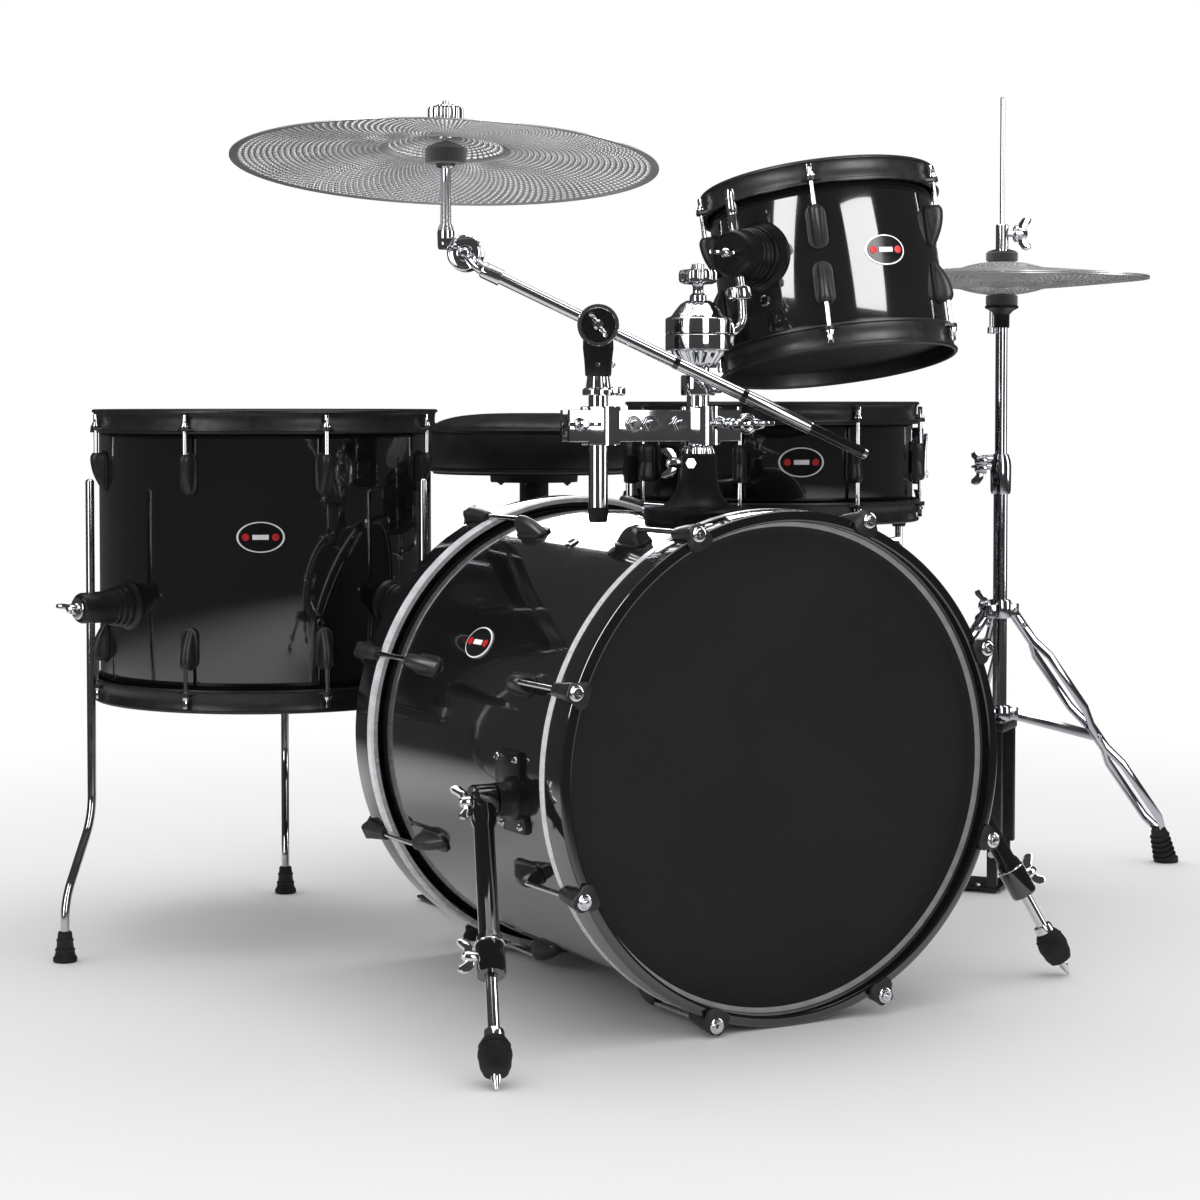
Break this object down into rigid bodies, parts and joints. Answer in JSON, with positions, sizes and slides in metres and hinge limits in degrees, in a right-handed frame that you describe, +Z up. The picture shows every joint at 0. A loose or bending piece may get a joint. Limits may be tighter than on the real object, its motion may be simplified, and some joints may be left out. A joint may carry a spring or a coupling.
{
  "type": "acoustic drum kit",
  "caption": "Compact acoustic drum kit in gloss black: bass drum on spurs, rack tom, snare, floor tom, boom-mounted crash, hi-hats, throne and kick pedal.",
  "frame": {"origin": "on the floor under the middle of the whole kit", "axes": "+Z up, -Y the direction the bass drum faces, +X to the right seen from the front"},
  "size_m": [1.5848, 1.2918, 1.043],
  "materials": {
    "shell_lacquer": "deep black gloss lacquer over laminated wood",
    "wood_hoop": "gloss black lacquered hoop with a silver inlay",
    "black_hoop": "satin black powder coat",
    "drum_head": "matte black coated film",
    "cymbal_metal": "perforated, finely lathed, silver",
    "seat_vinyl": "black vinyl over foam",
    "steel_wire": "bright coiled wire",
    "felt": "black felt",
    "black_steel": "satin black paint",
    "chrome_steel": "polished chrome plate, rubber ends black"
  },
  "bodies": {
    "kit": {"bass_drum_shell": "shell_lacquer", "bass_front_hoop": "wood_hoop", "bass_batter_hoop": "wood_hoop", "bass_front_head": "drum_head", "bass_batter_head": "drum_head", "tom_mount_base": "black_steel", "floor_tom_shell": "shell_lacquer", "floor_tom_batter_hoop": "black_hoop", "floor_tom_bottom_hoop": "black_hoop", "floor_tom_batter_head": "drum_head", "floor_tom_bottom_head": "drum_head", "snare_stand_base": "chrome_steel", "hihat_stand": "chrome_steel", "throne_base": "black_steel", "kick_pedal_frame": "black_steel"},
    "left_spur": {"spur_tube_left": "black_steel"},
    "left_spur_rod": {"spur_rod_left": "chrome_steel"},
    "right_spur": {"spur_tube_right": "black_steel"},
    "right_spur_rod": {"spur_rod_right": "chrome_steel"},
    "holder_post": {"tom_holder_post": "chrome_steel"},
    "clamp": {"multi_clamp": "chrome_steel"},
    "boom_post": {"boom_post": "chrome_steel"},
    "boom_tilter": {"boom_tilter_base": "black_steel"},
    "boom_jaw": {"boom_tilter_jaw": "black_steel"},
    "boom": {"boom_arm": "chrome_steel", "cymbal_tilter_eye": "chrome_steel"},
    "crash_stem": {"cymbal_stem": "chrome_steel", "crash_lower_felt": "felt", "crash_wing_nut": "chrome_steel"},
    "crash": {"crash_cymbal": "cymbal_metal"},
    "tom_arm": {"tom_l_rod": "chrome_steel"},
    "rack_tom": {"rack_tom_shell": "shell_lacquer", "rack_tom_batter_hoop": "black_hoop", "rack_tom_bottom_hoop": "black_hoop", "rack_tom_batter_head": "drum_head", "rack_tom_bottom_head": "drum_head", "tom_bracket": "black_steel"},
    "floor_leg_1": {"floor_tom_leg_1": "chrome_steel"},
    "floor_leg_2": {"floor_tom_leg_2": "chrome_steel"},
    "floor_leg_3": {"floor_tom_leg_3": "chrome_steel"},
    "snare": {"snare_basket": "chrome_steel", "snare_shell": "shell_lacquer", "snare_batter_hoop": "black_hoop", "snare_bottom_hoop": "black_hoop", "snare_batter_head": "drum_head", "snare_bottom_head": "drum_head", "snare_wires": "steel_wire"},
    "throw_off": {"throw_off_lever": "chrome_steel"},
    "hihat_upper": {"hihat_upper_tube": "chrome_steel", "hihat_bottom_cymbal": "cymbal_metal"},
    "hihat_rod": {"hihat_pull_rod": "chrome_steel", "hihat_clutch": "chrome_steel", "hihat_top_cymbal": "cymbal_metal"},
    "hihat_footboard": {"hihat_footboard": "black_steel"},
    "throne_post": {"throne_post": "black_steel"},
    "throne_seat": {"throne_seat": "seat_vinyl"},
    "kick_footboard": {"kick_footboard": "black_steel"},
    "kick_beater": {"kick_beater": "black_steel"}
  },
  "joints": [
    {"name": "left_spur_fold", "type": "hinge", "parent": "kit", "child": "left_spur", "pos_m": [-0.5168, -0.4389, 0.24], "axis": [1, 0, 0], "range_deg": [0, 100]},
    {"name": "left_spur_length", "type": "slide", "parent": "left_spur", "child": "left_spur_rod", "axis": [-0.2689, -0.6291, -0.7293], "range_m": [-0.035, 0.02]},
    {"name": "right_spur_fold", "type": "hinge", "parent": "kit", "child": "right_spur", "pos_m": [0.0712, -0.4389, 0.24], "axis": [1, 0, 0], "range_deg": [0, 100]},
    {"name": "right_spur_length", "type": "slide", "parent": "right_spur", "child": "right_spur_rod", "axis": [0.4265, -0.2296, -0.8749], "range_m": [-0.035, 0.02]},
    {"name": "holder_height", "type": "slide", "parent": "kit", "child": "holder_post", "axis": [0, 0, 1], "range_m": [0, 0.06]},
    {"name": "clamp_turn", "type": "hinge", "parent": "holder_post", "child": "clamp", "pos_m": [-0.2228, -0.3729, 0.62], "axis": [0, 0, 1], "range_deg": [-12, 12]},
    {"name": "boom_height", "type": "slide", "parent": "clamp", "child": "boom_post", "axis": [0, 0, 1], "range_m": [-0.01, 0.05]},
    {"name": "boom_swivel", "type": "hinge", "parent": "boom_post", "child": "boom_tilter", "pos_m": [-0.3348, -0.3519, 0.7], "axis": [0, 0, 1], "range_deg": [-15, 8]},
    {"name": "boom_tilt", "type": "hinge", "parent": "boom_tilter", "child": "boom_jaw", "pos_m": [-0.3348, -0.3519, 0.7265], "axis": [0.4818, 0.8763, 0], "range_deg": [-8, 10]},
    {"name": "boom_slide", "type": "slide", "parent": "boom_jaw", "child": "boom", "axis": [-0.7896, 0.4341, 0.4337], "range_m": [-0.05, 0.05]},
    {"name": "crash_tilt", "type": "hinge", "parent": "boom", "child": "crash_stem", "pos_m": [-0.46441, -0.29456, 0.80283], "axis": [0.4818, 0.8763, 0], "range_deg": [-10, 10]},
    {"name": "crash_swing", "type": "hinge", "parent": "crash_stem", "child": "crash", "pos_m": [-0.4778, -0.2739, 0.926], "axis": [1, 0, 0], "range_deg": [-8, 8], "stiffness_Nm_per_rad": 0.6},
    {"name": "tom_tilt", "type": "hinge", "parent": "holder_post", "child": "tom_arm", "pos_m": [-0.2228, -0.3729, 0.722], "axis": [1, 0, 0], "range_deg": [-3, 10]},
    {"name": "tom_turn", "type": "hinge", "parent": "tom_arm", "child": "rack_tom", "pos_m": [-0.16274, -0.3587, 0.79534], "axis": [-0.0262, 0.1873, 0.982], "range_deg": [-12, 12]},
    {"name": "floor_leg_1_height", "type": "slide", "parent": "kit", "child": "floor_leg_1", "axis": [0, 0, 1], "range_m": [-0.04, 0.03]},
    {"name": "floor_leg_2_height", "type": "slide", "parent": "kit", "child": "floor_leg_2", "axis": [0, 0, 1], "range_m": [-0.04, 0.03]},
    {"name": "floor_leg_3_height", "type": "slide", "parent": "kit", "child": "floor_leg_3", "axis": [0, 0, 1], "range_m": [-0.04, 0.03]},
    {"name": "snare_turn", "type": "hinge", "parent": "kit", "child": "snare", "pos_m": [0.1142, 0.0061, 0.44], "axis": [0, 0, 1], "range_deg": [-10, 20]},
    {"name": "throw_off", "type": "hinge", "parent": "snare", "child": "throw_off", "pos_m": [0.2992, -0.06529, 0.552], "axis": [0.36, 0.933, 0], "range_deg": [0, 75]},
    {"name": "hihat_height", "type": "slide", "parent": "kit", "child": "hihat_upper", "axis": [0, 0, 1], "range_m": [-0.05, 0.035]},
    {"name": "hihat_close", "type": "slide", "parent": "hihat_upper", "child": "hihat_rod", "axis": [0, 0, 1], "range_m": [0, 0.0135]},
    {"name": "hihat_pedal", "type": "hinge", "parent": "kit", "child": "hihat_footboard", "pos_m": [0.28559, 0.16383, 0.037], "axis": [0.788, 0.6157, 0], "range_deg": [-4, 0]},
    {"name": "throne_height", "type": "slide", "parent": "kit", "child": "throne_post", "axis": [0, 0, 1], "range_m": [-0.05, 0.08]},
    {"name": "throne_spin", "type": "hinge", "parent": "throne_post", "child": "throne_seat", "pos_m": [-0.0128, 0.4161, 0.56], "axis": [0, 0, 1], "continuous": true},
    {"name": "kick_pedal", "type": "hinge", "parent": "kit", "child": "kick_footboard", "pos_m": [-0.2228, 0.2211, 0.034], "axis": [1, 0, 0], "range_deg": [0, 8], "stiffness_Nm_per_rad": 5, "springref_deg": -28.65},
    {"name": "kick_beater", "type": "hinge", "parent": "kit", "child": "kick_beater", "pos_m": [-0.2228, 0.0011, 0.205], "axis": [1, 0, 0], "range_deg": [0, 54]}
  ],
  "couplings": [
    {"joint": "hihat_close", "follows": "hihat_pedal", "m_per_rad": -0.19},
    {"joint": "kick_beater", "follows": "kick_pedal", "ratio": 6.75}
  ]
}
